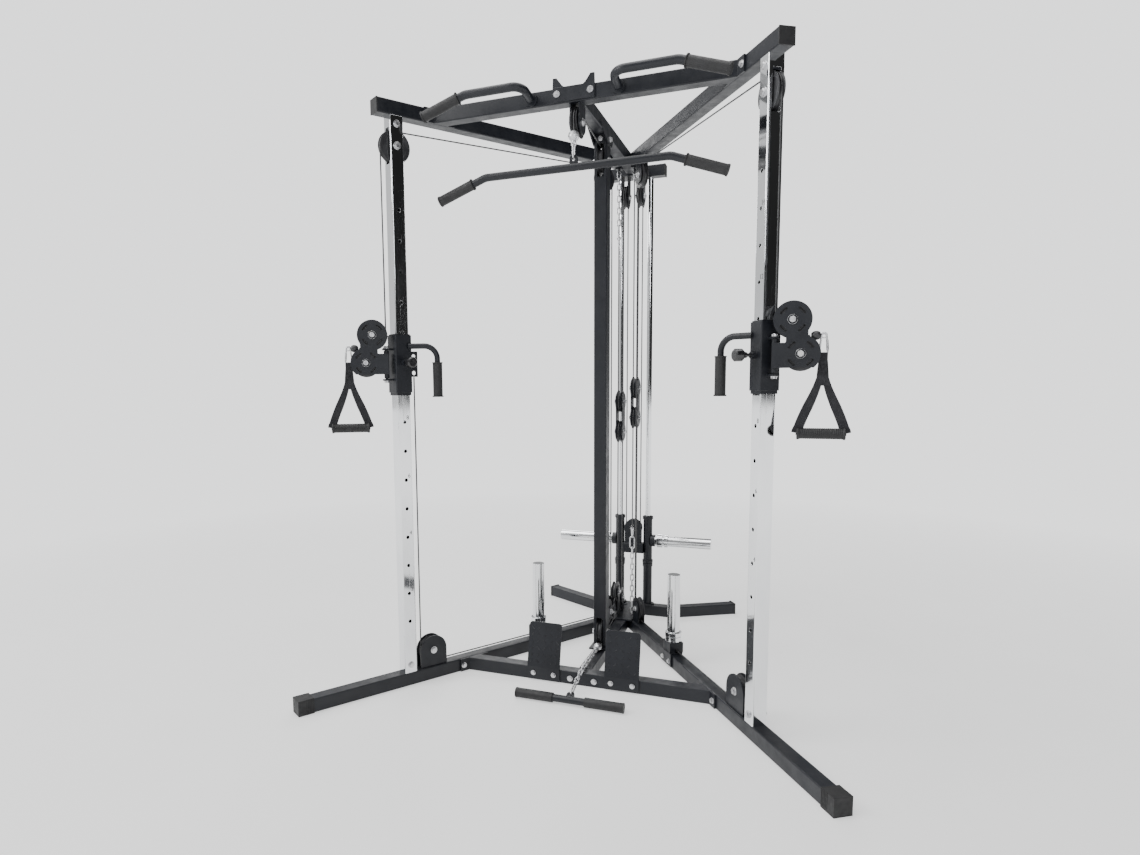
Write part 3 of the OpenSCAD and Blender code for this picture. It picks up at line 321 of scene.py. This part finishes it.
def rubber_mat(name, tone, pebble, rough):
    """Pebbled grip rubber; tone is its darkest grey."""
    k = Mat(name, rough, 0.0)
    n = k.noise(22, 5)
    col = k.ramp(n, [(0.3, (tone, tone, tone * 1.05)), (0.75, (tone * 1.6, tone * 1.6, tone * 1.8))])
    dust = k.math("MULTIPLY", k.upness(), k.remap(k.noise(30, 5), 0.0, 0.2, 0.45, 0.8))
    col = k.mix(dust, col, (0.06, 0.06, 0.062))
    v = k.node("ShaderNodeTexVoronoi")
    v.inputs["Scale"].default_value = pebble
    k.link(k.pos, v.inputs["Vector"])
    k.bump((v.outputs["Distance"], 0.25, 0.0006), (k.noise(900, 2), 0.2, 0.0003), edge=0.0012)
    return k.done(col, k.remap(k.noise(60, 4), rough - 0.1, rough + 0.12, 0.3, 0.7))


def nylon_mat():
    k = Mat("moulded_nylon", 0.42, 0.0)
    n = k.noise(16, 4)
    col = k.ramp(n, [(0.3, (0.012, 0.012, 0.014)), (0.75, (0.035, 0.035, 0.038))])
    grey = k.remap(k.noise(130, 4, 0.7), 0.0, 0.3, 0.58, 0.75)
    col = k.mix(grey, col, (0.12, 0.12, 0.12))
    k.bump((k.noise(360, 3), 0.18, 0.0004), edge=0.0008)
    return k.done(col, k.remap(n, 0.3, 0.55, 0.3, 0.7))


def knob_mat():
    k = Mat("knob_plastic", 0.25, 0.0)
    k.b.inputs["Coat Weight"].default_value = 0.4
    n = k.noise(40, 5)
    col = k.ramp(n, [(0.35, (0.005, 0.005, 0.006)), (0.8, (0.014, 0.014, 0.016))])
    k.bump((k.noise(500, 2), 0.1, 0.0003), edge=0.001)
    return k.done(col, k.remap(k.noise(90, 4), 0.18, 0.4, 0.3, 0.7))


def cable_mat():
    k = Mat("cable_sheath", 0.3, 0.0)
    w = k.node("ShaderNodeTexWave", wave_type="BANDS", bands_direction="DIAGONAL")
    w.inputs["Scale"].default_value = 160
    w.inputs["Distortion"].default_value = 0.6
    k.link(k.pos, w.inputs["Vector"])
    col = k.ramp(w.outputs["Fac"], [(0.2, (0.012, 0.012, 0.013)), (0.8, (0.05, 0.05, 0.052))])
    k.bump((w.outputs["Fac"], 0.35, 0.0005))
    return k.done(col, k.remap(k.noise(40, 4), 0.22, 0.42, 0.3, 0.7))


def web_mat():
    k = Mat("webbing_weave", 0.85, 0.0)
    k.b.inputs["Sheen Weight"].default_value = 0.12
    outs = []
    for d, s in (("X", 380), ("Z", 300)):
        w = k.node("ShaderNodeTexWave", wave_type="BANDS", bands_direction=d)
        w.inputs["Scale"].default_value = s
        w.inputs["Distortion"].default_value = 0.25
        k.link(k.pos, w.inputs["Vector"])
        outs.append(w.outputs["Fac"])
    weave = k.math("MULTIPLY", outs[0], outs[1])
    col = k.ramp(weave, [(0.1, (0.004, 0.004, 0.006)), (0.7, (0.024, 0.024, 0.03))])
    fuzz = k.remap(k.noise(70, 5), 0.0, 0.35, 0.45, 0.8)
    col = k.mix(fuzz, col, (0.036, 0.036, 0.04))
    k.bump((weave, 0.6, 0.0006), (k.noise(600, 3), 0.2, 0.0003))
    return k.done(col, k.remap(k.noise(30, 4), 0.75, 0.95, 0.3, 0.7))


def ink_mat():
    k = Mat("number_ink", 0.5, 0.0)
    n = k.noise(300, 4)
    col = k.ramp(n, [(0.3, (0.02, 0.02, 0.02)), (0.7, (0.05, 0.05, 0.05))])
    k.bump((n, 0.1, 0.0002))
    return k.done(col, k.remap(n, 0.4, 0.6, 0.3, 0.7))


def floor_mat():
    k = Mat("floor_paint", 0.6, 0.0)
    n = k.noise(1.4, 6)
    col = k.ramp(n, [(0.3, (0.84, 0.84, 0.83)), (0.75, (0.88, 0.88, 0.875))])
    k.bump((k.noise(60, 4), 0.05, 0.002))
    m = k.done(col, k.remap(k.noise(4, 4), 0.5, 0.7, 0.3, 0.7))
    # far from the machine the floor fades into the background, like a studio sweep
    far = k.node("ShaderNodeVectorMath", operation="LENGTH")
    k.link(k.pos, far.inputs[0])
    glow = k.node("ShaderNodeEmission")
    glow.inputs["Color"].default_value = (*BACKDROP, 1)
    glow.inputs["Strength"].default_value = BACKDROP_STRENGTH
    mix = k.node("ShaderNodeMixShader")
    k.link(k.remap(far.outputs["Value"], 0.35, 1.0, 1.2, 4.5), mix.inputs[0])
    k.link(k.b.outputs[0], mix.inputs[1])
    k.link(glow.outputs[0], mix.inputs[2])
    k.link(mix.outputs[0], k.t.nodes["Material Output"].inputs["Surface"])
    return m


MATS = {
    "frame_paint": powder("powder_coat", (0.0042, 0.005, 0.0075), (0.0085, 0.010, 0.0145)),
    "chrome": chrome_mat("chrome_polish", (1, 1, 0.02)),
    "zinc": zinc_mat(),
    "rubber": rubber_mat("grip_rubber", 0.0075, 420, 0.6),
    "nylon": nylon_mat(),
    "knob": knob_mat(),
    "webbing": web_mat(),
    "cable": cable_mat(),
}
for sub in frame["record"]["subparts"]:
    o = N[sub["node"]]
    m = MATS[sub["material_slot"]]
    if not o.data.materials:
        o.data.materials.append(m)
    for i in range(len(o.data.materials)):
        o.data.materials[i] = m
HORN = chrome_mat("chrome_turned", (0.02, 1, 1))
for i in range(len(N["weight_horns"].data.materials)):
    N["weight_horns"].data.materials[i] = HORN


# ---------- mesh helpers ----------
def add(name, verts, faces, mat, body, slot=None, matrix=None):
    """Smooth-shaded piece that rides on a body."""
    me = bpy.data.meshes.new(name)
    me.from_pydata([tuple(v) for v in verts], [], faces)
    bm = bmesh.new()
    bm.from_mesh(me)
    bmesh.ops.remove_doubles(bm, verts=bm.verts, dist=1e-6)
    bmesh.ops.recalc_face_normals(bm, faces=bm.faces)
    bm.to_mesh(me)
    bm.free()
    me.materials.append(mat)
    for p in me.polygons:
        p.use_smooth = True
    o = bpy.data.objects.new(name, me)
    scene.collection.objects.link(o)
    if matrix is not None:
        o.matrix_world = matrix
    me.set_sharp_from_angle(angle=math.radians(35))
    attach(o, body)
    return o


def sweep(path, r, seg=12, closed=False):
    """Round wire along a path."""
    n = len(path)
    pts = [Vector(p) for p in path]
    verts, faces = [], []
    ref = None
    for i, p in enumerate(pts):
        a = pts[i - 1] if (i or closed) else p
        b = pts[(i + 1) % n] if (i < n - 1 or closed) else p
        t = (b - a).normalized()
        if ref is None:
            ref = t.orthogonal().normalized()
        ref = (ref - t * ref.dot(t)).normalized()
        u = t.cross(ref)
        for j in range(seg):
            w = 2 * math.pi * j / seg
            verts.append(p + ref * (r * math.cos(w)) + u * (r * math.sin(w)))
    rows = n if closed else n - 1
    for i in range(rows):
        for j in range(seg):
            k = (i + 1) % n
            faces.append((i * seg + j, i * seg + (j + 1) % seg, k * seg + (j + 1) % seg, k * seg + j))
    if not closed:
        faces.append(tuple(range(seg))[::-1])
        faces.append(tuple((n - 1) * seg + j for j in range(seg)))
    return verts, faces


def lathe(profile, seg=40):
    """Closed profile of (r, z) turned round Z."""
    verts, faces = [], []
    n = len(profile)
    for j in range(seg):
        w = 2 * math.pi * j / seg
        for r, z in profile:
            verts.append(Vector((r * math.cos(w), r * math.sin(w), z)))
    for j in range(seg):
        k = (j + 1) % seg
        for i in range(n):
            q = (i + 1) % n
            faces.append((j * n + i, j * n + q, k * n + q, k * n + i))
    return verts, faces


def join(*parts):
    """Several (verts, faces) as one."""
    verts, faces = [], []
    for v, f in parts:
        b = len(verts)
        verts += v
        faces += [tuple(i + b for i in q) for q in f]
    return verts, faces


def band(path, widths, t):
    """Flat woven strap in the local XZ plane: path of (x, z), width at each point, thickness t."""
    verts, faces = [], []
    n = len(path)
    sec = [(-0.5, 0.25), (-0.47, 0.5), (-0.4, 0.42), (0.4, 0.42), (0.47, 0.5), (0.5, 0.25),
           (0.5, -0.25), (0.47, -0.5), (0.4, -0.42), (-0.4, -0.42), (-0.47, -0.5), (-0.5, -0.25)]
    for i in range(n):
        a, b = path[max(0, i - 1)], path[min(n - 1, i + 1)]
        d = Vector((b[0] - a[0], b[1] - a[1])).normalized()
        s = Vector((d[1], -d[0]))
        for u, v in sec:
            verts.append(Vector((path[i][0] + s[0] * u * widths[i], v * t,
                                 path[i][1] + s[1] * u * widths[i])))
    m = len(sec)
    for i in range(n - 1):
        for j in range(m):
            faces.append((i * m + j, i * m + (j + 1) % m, (i + 1) * m + (j + 1) % m, (i + 1) * m + j))
    faces.append(tuple(range(m))[::-1])
    faces.append(tuple((n - 1) * m + j for j in range(m)))
    return verts, faces


def bezier(p0, p1, p2, p3, n):
    """n + 1 points of a cubic curve."""
    out = []
    for i in range(n + 1):
        t = i / n
        out.append(tuple((1 - t) ** 3 * a + 3 * (1 - t) ** 2 * t * b + 3 * (1 - t) * t * t * c + t ** 3 * d
                         for a, b, c, d in zip(p0, p1, p2, p3)))
    return out


def leg_point(s, r, y, z):
    """Point of a leg frame (millimetres) in the row frame."""
    return Vector((s * (r * S + y * C), 1000 * APEX - r * C + y * S, z)) / 1000


# ---------- hand straps and cable ends ----------
def pear(r1, r2, top, low, n=14):
    """Snap hook wire line in the XZ plane between its top and bottom wire centres."""
    pts = []
    for i in range(n + 1):
        w = math.pi + math.pi * i / n
        pts.append((r2 * math.cos(w), 0, low + r2 + r2 * math.sin(w)))
    for i in range(n + 1):
        w = math.pi * i / n
        pts.append((r1 * math.cos(w), 0, top - r1 + r1 * math.sin(w)))
    return pts


def arc(cx, cz, r, a0, a1, n):
    """n + 1 points of an arc in the XZ plane, from a0 to a1 degrees."""
    return [(cx + r * math.cos(math.radians(a0 + (a1 - a0) * i / n)), 0,
             cz + r * math.sin(math.radians(a0 + (a1 - a0) * i / n))) for i in range(n + 1)]


def swivel_plane(s, x, z):
    """Matrix of a swivel's own plane: X out from the hinge line, Z up, at (x, z) metres."""
    a = math.radians(SWIVEL_TURN[s])
    d = Vector((s * math.cos(a), math.sin(a), 0))
    m = Matrix((d, Vector((0, 0, 1)).cross(d), Vector((0, 0, 1)))).transposed().to_4x4()
    m.translation = leg_point(s, HINGE_R, 0, 0) + d * x + Vector((0, 0, z))
    return m


def fabric_loop(z, r, width, t, n=16):
    """Webbing folded round a wire that runs along X, its two ends going down."""
    verts, faces = [], []
    inner = [(math.cos(math.pi * i / n) * r, math.sin(math.pi * i / n) * r + z) for i in range(n + 1)]
    outer = [(math.cos(math.pi * i / n) * (r + t), math.sin(math.pi * i / n) * (r + t) + z)
             for i in range(n + 1)]
    inner = [(0.0012, z - 0.026)] + inner + [(-0.0012, z - 0.026)]
    outer = [(0.0012 + t, z - 0.026)] + outer + [(-0.0012 - t, z - 0.026)]
    m = len(inner)
    cols = [(-0.5, 0.0), (-0.3, 0.0006), (0.0, 0.0008), (0.3, 0.0006), (0.5, 0.0)]
    for u, lift in cols:
        verts += [Vector((u * width, y, q)) for y, q in inner]
        verts += [Vector((u * width, y * 1.02, q + (lift if q > z else 0))) for y, q in outer]
    row = 2 * m
    for c in range(len(cols) - 1):
        for i in range(m - 1):
            a, b = c * row + i, (c + 1) * row + i
            faces.append((a, a + 1, b + 1, b))
            faces.append((a + m, b + m, b + m + 1, a + m + 1))
        a, b = c * row, (c + 1) * row
        faces.append((a, b, b + m, a + m))
        a, b = c * row + m - 1, (c + 1) * row + m - 1
        faces.append((a, a + m, b + m, b))
    for c in (0, len(cols) - 1):
        for i in range(m - 1):
            a = c * row + i
            faces.append((a, a + 1, a + m + 1, a + m) if c else (a, a + m, a + m + 1, a + 1))
    return verts, faces


def cable_end(side, body):
    """Cable from the hinge line round the upper pulley, with its ball stop and ring."""
    s = 1 if side == "right" else -1
    m = swivel_plane(s, 0, 0)
    line = arc(*UPPER_PULLEY, PULLEY_R, 180, 270, 24)
    line += [(UPPER_PULLEY[0] + i * 0.0095, 0, END_Z) for i in range(1, 6)]
    v, f = sweep(line, 0.0025, 14)
    w = add(side + "_end_cable", v, f, MATS["cable"], body, slot="cable", matrix=m)
    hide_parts(side + "_cable_end")
    prof = [(0.2, 97.2), (6, 97.2), (8.8, 98.8), (11.2, 102.2), (12.6, 106.4), (13, 111),
            (12.6, 115), (11.2, 118.8), (9.2, 121.4), (7, 122.6), (5.2, 123), (5, 125), (0.2, 125.2)]
    v, f = lathe([(r / 1000, q / 1000) for r, q in prof], 48)
    v = [Vector((p[2], p[1], p[0] + END_Z)) for p in v]
    add(side + "_ball_stop", v, f, MATS["nylon"], body, slot="nylon", matrix=m)
    ring = [(END_X + 0.0072 * math.cos(i * math.pi / 14), 0, END_Z + 0.0072 * math.sin(i * math.pi / 14))
            for i in range(28)]
    v, f = sweep(ring, 0.0022, 12, True)
    add(side + "_end_ring", v, f, MATS["zinc"], body, slot="zinc", matrix=m)


def strap(side, body):
    """Hand strap with its snap hook, webbing, stitches and grip."""
    s = 1 if side == "right" else -1
    m = swivel_plane(s, END_X, END_Z - 0.0012)
    web = MATS["webbing"]
    # loop over the hook, neck, two arms and the strip through the grip
    parts = [fabric_loop(-0.0535, 0.0036, 0.024, 0.0022),
             band([(0, z / 1000) for z in (-70, -80, -92, -104, -118, -130, -142)],
                  [0.025, 0.027, 0.029, 0.031, 0.033, 0.034, 0.034], 0.0058)]
    for k in (-1, 1):
        pts = bezier((k * 0.0085, -0.122), (k * 0.017, -0.165), (k * 0.046, -0.215), (k * 0.0605, -0.262), 14)
        pts += [(k * 0.0655, -0.272), (k * 0.067, -0.279)]
        parts.append(band(pts, [0.018 + 0.009 * min(1, i / 8) for i in range(len(pts))], 0.0034))
    parts.append(band([(x / 1000, -0.281) for x in range(-68, 69, 8)], [0.008] * 18, 0.004))
    v, f = join(*parts)
    w = add(side + "_strap_webbing", v, f, web, body, slot="webbing", matrix=m)
    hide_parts(side + "_hand_strap")
    # box with crossed stitches on the neck
    lines = []
    for x0, z0, x1, z1 in ((-11, -84, 11, -84), (-13, -108, 13, -108), (-11, -84, -13, -108),
                           (11, -84, 13, -108), (-11, -84, 13, -108), (11, -84, -13, -108)):
        q = max(2, int(math.hypot(x1 - x0, z1 - z0) / 2.6))
        for i in range(q):
            for y in (-0.003, 0.003):
                p = [((x0 + (x1 - x0) * t / q) / 1000, y, (z0 + (z1 - z0) * t / q) / 1000)
                     for t in (i + 0.15, i + 0.8)]
                lines.append(sweep(p, 0.0005, 6))
    v, f = join(*lines)
    add(side + "_strap_stitches", v, f, MATS["rubber"], body, slot="webbing", matrix=m)
    # snap hook with its hinged gate
    v, f = join(sweep(pear(0.0068, 0.0112, 0.0055, -0.0555), 0.0027, 14, True),
                sweep([(0.0108, 0, -0.041), (0.0086, 0, -0.012)], 0.0035, 14),
                sweep([(0.0104, -0.0042, -0.0395), (0.0104, 0.0042, -0.0395)], 0.0014, 10))
    add(side + "_strap_hook", v, f, MATS["zinc"], body, slot="zinc", matrix=m)
    # hollow grip with rolled ends and shallow ribs
    prof = [(12.6, -65), (14.4, -66), (17.2, -65.2), (18, -62), (17.2, -58.8), (15.6, -57)]
    z = -55
    while z <= 55:
        prof += [(15.4, z - 1.6), (16.1, z - 0.9), (16.1, z + 0.9), (15.4, z + 1.6)]
        z += 5
    prof += [(15.6, 57), (17.2, 58.8), (18, 62), (17.2, 65.2), (14.4, 66), (12.6, 65)]
    v, f = lathe([(r / 1000, q / 1000) for r, q in prof], 48)
    v = [Vector((p[2], p[1], p[0] - 0.28)) for p in v]
    add(side + "_strap_grip", v, f, MATS["rubber"], body, slot="rubber", matrix=m)


for side in ("right", "left"):
    cable_end(side, side + "_swivel_arm")
    strap(side, side + "_strap")


# ---------- bright bolt heads over painted or moulded parts ----------
def bolt(r, h, washer):
    """Chamfered hexagon head on a washer, standing on z = 0, in metres."""
    wash = [(0.0005, 0), (washer, 0), (washer, 0.0012), (washer - 0.0005, 0.0018), (0.0005, 0.0018)]
    parts = [lathe(wash, 40)]
    # share of the height, share of the radius, still hexagonal
    rings = [(0.0, 1.0, True), (0.72, 1.0, True), (0.9, 0.93 * 0.93, False), (1.0, 0.86 * 0.93, False)]
    verts, faces = [], []
    for z, k, hexagon in rings:
        for j in range(12):
            a = math.pi * j / 6
            flat = math.cos(math.pi / 6) / math.cos((a + math.pi / 6) % (math.pi / 3) - math.pi / 6)
            q = r * k * (flat if hexagon else 1)
            verts.append(Vector((q * math.cos(a), q * math.sin(a), 0.0016 + z * h)))
    for i in range(len(rings) - 1):
        for j in range(12):
            k = (j + 1) % 12
            faces.append((i * 12 + j, i * 12 + k, (i + 1) * 12 + k, (i + 1) * 12 + j))
    faces.append(tuple(range((len(rings) - 1) * 12, len(rings) * 12)))
    faces.append(tuple(range(12))[::-1])
    parts.append((verts, faces))
    return join(*parts)


def place(pos, z):
    """Matrix that stands a piece's Z axis along z at pos."""
    z = Vector(z).normalized()
    x = z.orthogonal().normalized()
    m = Matrix((x, z.cross(x), z)).transposed().to_4x4()
    m.translation = Vector(pos)
    return m


def fit_bolts(name, body, sites, r=0.0104, h=0.0078, washer=0.0142):
    """One piece with a bolt head at each (position, outward axis)."""
    parts = []
    v0, f0 = bolt(r, h, washer)
    for pos, axis in sites:
        m = place(pos, axis)
        parts.append(([m @ v for v in v0], f0))
    v, f = join(*parts)
    add(name, v, f, MATS["zinc"], body, slot="zinc")


for side, s in (("left", -1), ("right", 1)):
    m = swivel_plane(s, 0, 0)
    n = m.to_3x3() @ Vector((0, 1, 0))
    sites = [(m @ Vector((x, k * 0.0172, z)), n * k)
             for x, z in (UPPER_PULLEY, LOWER_PULLEY) for k in (-1, 1)]
    fit_bolts(side + "_swivel_bolts", side + "_swivel_arm", sites)
    pin = leg_point(s, HINGE_R, 0, 0)
    fit_bolts(side + "_hinge_bolts", side + "_trolley",
              [(pin + Vector((0, 0, 1.2535)), (0, 0, 1)), (pin + Vector((0, 0, 1.1388)), (0, 0, -1))],
              0.0094, 0.0062, 0.0115)
fit_bolts("carriage_bolts", "carriage",
          [((0, APEX + 0.136 + k * 0.0182, 0.426), (0, k, 0)) for k in (-1, 1)])
fit_bolts("block_bolts", "frame",
          [((b * 0.034 + k * 0.0162, APEX - 0.002, z), (k, 0, 0))
           for b, zs in ((-1, (1.036, 0.899)), (1, (1.097, 0.963))) for z in zs for k in (-1, 1)],
          0.0094, 0.0078, 0.0125)


# ---------- printed hole numbers ----------
def numbers():
    """Plain number printed over every second adjusting hole, on both posts."""
    ink = ink_mat()
    for s in (-1, 1):
        for k in range(2, 15, 2):
            cu = bpy.data.curves.new("digits", "FONT")
            cu.body = str(k)
            cu.size = 0.021
            cu.align_x = "CENTER"
            cu.align_y = "CENTER"
            cu.extrude = 0.0001
            tmp = bpy.data.objects.new("digits", cu)
            scene.collection.objects.link(tmp)
            bpy.context.view_layer.update()
            me = bpy.data.meshes.new_from_object(tmp)
            bpy.data.objects.remove(tmp)
            me.materials.clear()
            me.materials.append(ink)
            o = bpy.data.objects.new("hole_number_%s_%d" % ("right" if s > 0 else "left", k), me)
            scene.collection.objects.link(o)
            # face normal n points to the inside of the V; text reads left to right seen from there
            n = Vector((-s * C, -S, 0))
            x = Vector((0, 0, 1)).cross(n)
            m = Matrix((x, Vector((0, 0, 1)), n)).transposed().to_4x4()
            p = leg_point(s, POST_R, POST_FACE_Y, FIRST_HOLE + (k - 1) * HOLE_PITCH + 15)
            m.translation = p + x * 0.0125
            o.matrix_world = m
            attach(o, "frame")


numbers()

# ---------- floor ----------
me = bpy.data.meshes.new("floor")
me.from_pydata([(-30, -30, 0), (30, -30, 0), (30, 30, 0), (-30, 30, 0)], [], [(0, 1, 2, 3)])
me.materials.append(floor_mat())
ground = bpy.data.objects.new("floor", me)
scene.collection.objects.link(ground)
